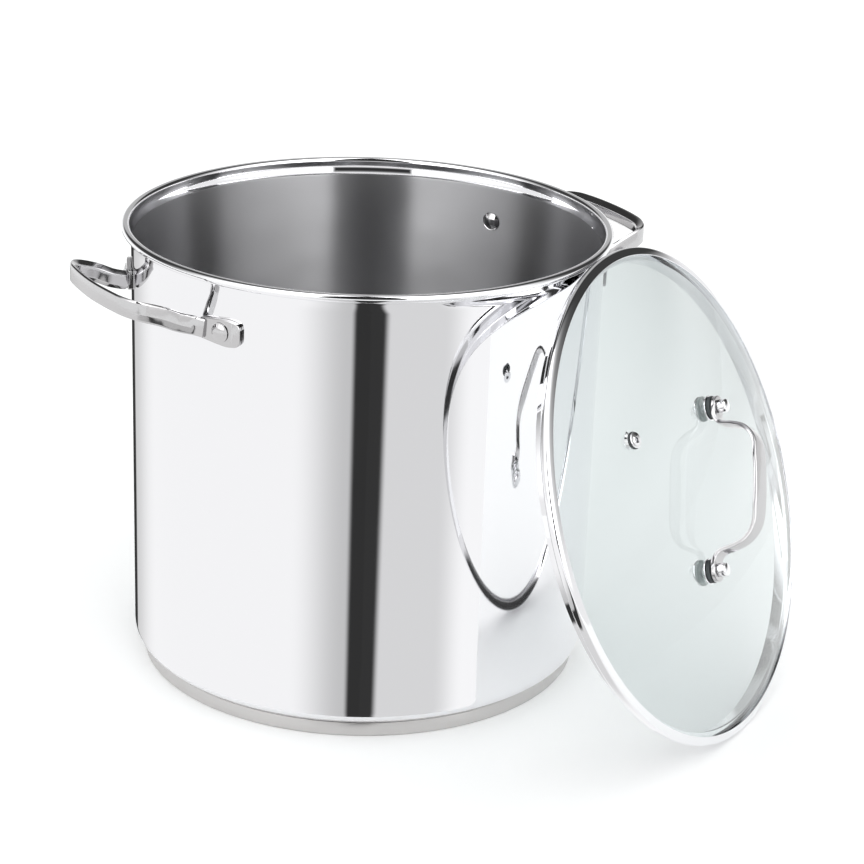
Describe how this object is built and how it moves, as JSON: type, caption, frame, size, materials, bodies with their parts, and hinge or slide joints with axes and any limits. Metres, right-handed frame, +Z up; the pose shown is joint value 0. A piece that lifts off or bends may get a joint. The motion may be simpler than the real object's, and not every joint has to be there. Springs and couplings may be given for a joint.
{
  "type": "water bath canner",
  "caption": "Tall polished steel pot for water bath canning, with side handles, a domed glass lid that leans on its rim, and a wire jar rack inside.",
  "frame": {"origin": "centre of the pot's base, on the surface it stands on", "axes": "+Z up along the pot's axis, +X through the right side handle, -Y towards the side on which the lid leans"},
  "size_m": [0.4577, 0.4266, 0.2929],
  "materials": {
    "polished_steel": "stainless steel, mirror polished outside and satin inside the pot",
    "satin_base": "stainless steel with a fine satin grain",
    "aluminium_core": "plain rolled aluminium",
    "clear_glass": "clear tempered glass with a slight green tint",
    "dark_rubber": "matt moulded silicone rubber",
    "plated_wire": "bright plated steel wire"
  },
  "bodies": {
    "pot": {"pot_body": "polished_steel", "base_cap": "satin_base", "base_heat_spreading_disc": "aluminium_core", "right_side_handle": "polished_steel", "left_side_handle": "polished_steel", "right_handle_rear_rivet": "polished_steel", "right_handle_front_rivet": "polished_steel", "left_handle_front_rivet": "polished_steel", "left_handle_rear_rivet": "polished_steel"},
    "lid": {"lid_glass": "clear_glass", "lid_rim_band": "polished_steel", "lid_handle": "polished_steel", "upper_lid_handle_outer_washer": "polished_steel", "upper_lid_handle_outer_gasket": "dark_rubber", "upper_lid_handle_inner_gasket": "dark_rubber", "upper_lid_handle_inner_washer": "polished_steel", "upper_lid_handle_screw": "polished_steel", "upper_lid_handle_cap_nut": "polished_steel", "lower_lid_handle_outer_washer": "polished_steel", "lower_lid_handle_outer_gasket": "dark_rubber", "lower_lid_handle_inner_gasket": "dark_rubber", "lower_lid_handle_inner_washer": "polished_steel", "lower_lid_handle_screw": "polished_steel", "lower_lid_handle_cap_nut": "polished_steel", "vent_gasket": "dark_rubber", "vent_eyelet": "polished_steel"},
    "jar_rack": {"jar_rack_frame": "plated_wire"},
    "rear_lifting_handle": {"jar_rack_rear_lifting_handle": "plated_wire"},
    "front_lifting_handle": {"jar_rack_front_lifting_handle": "plated_wire"}
  },
  "joints": [
    {"name": "lid_lift_away", "type": "slide", "parent": "pot", "child": "lid", "axis": [0.4525, -0.813, 0.3665], "range_m": [0, 0.3]},
    {"name": "jar_rack_lift_out", "type": "slide", "parent": "pot", "child": "jar_rack", "axis": [0, 0, 1], "range_m": [0, 0.31]},
    {"name": "rear_lifting_handle_swing", "type": "hinge", "parent": "jar_rack", "child": "rear_lifting_handle", "pos_m": [0, 0.116, 0.0236], "axis": [-1, 0, 0], "range_deg": [0, 95]},
    {"name": "front_lifting_handle_swing", "type": "hinge", "parent": "jar_rack", "child": "front_lifting_handle", "pos_m": [0, -0.116, 0.0236], "axis": [1, 0, 0], "range_deg": [0, 95]}
  ]
}
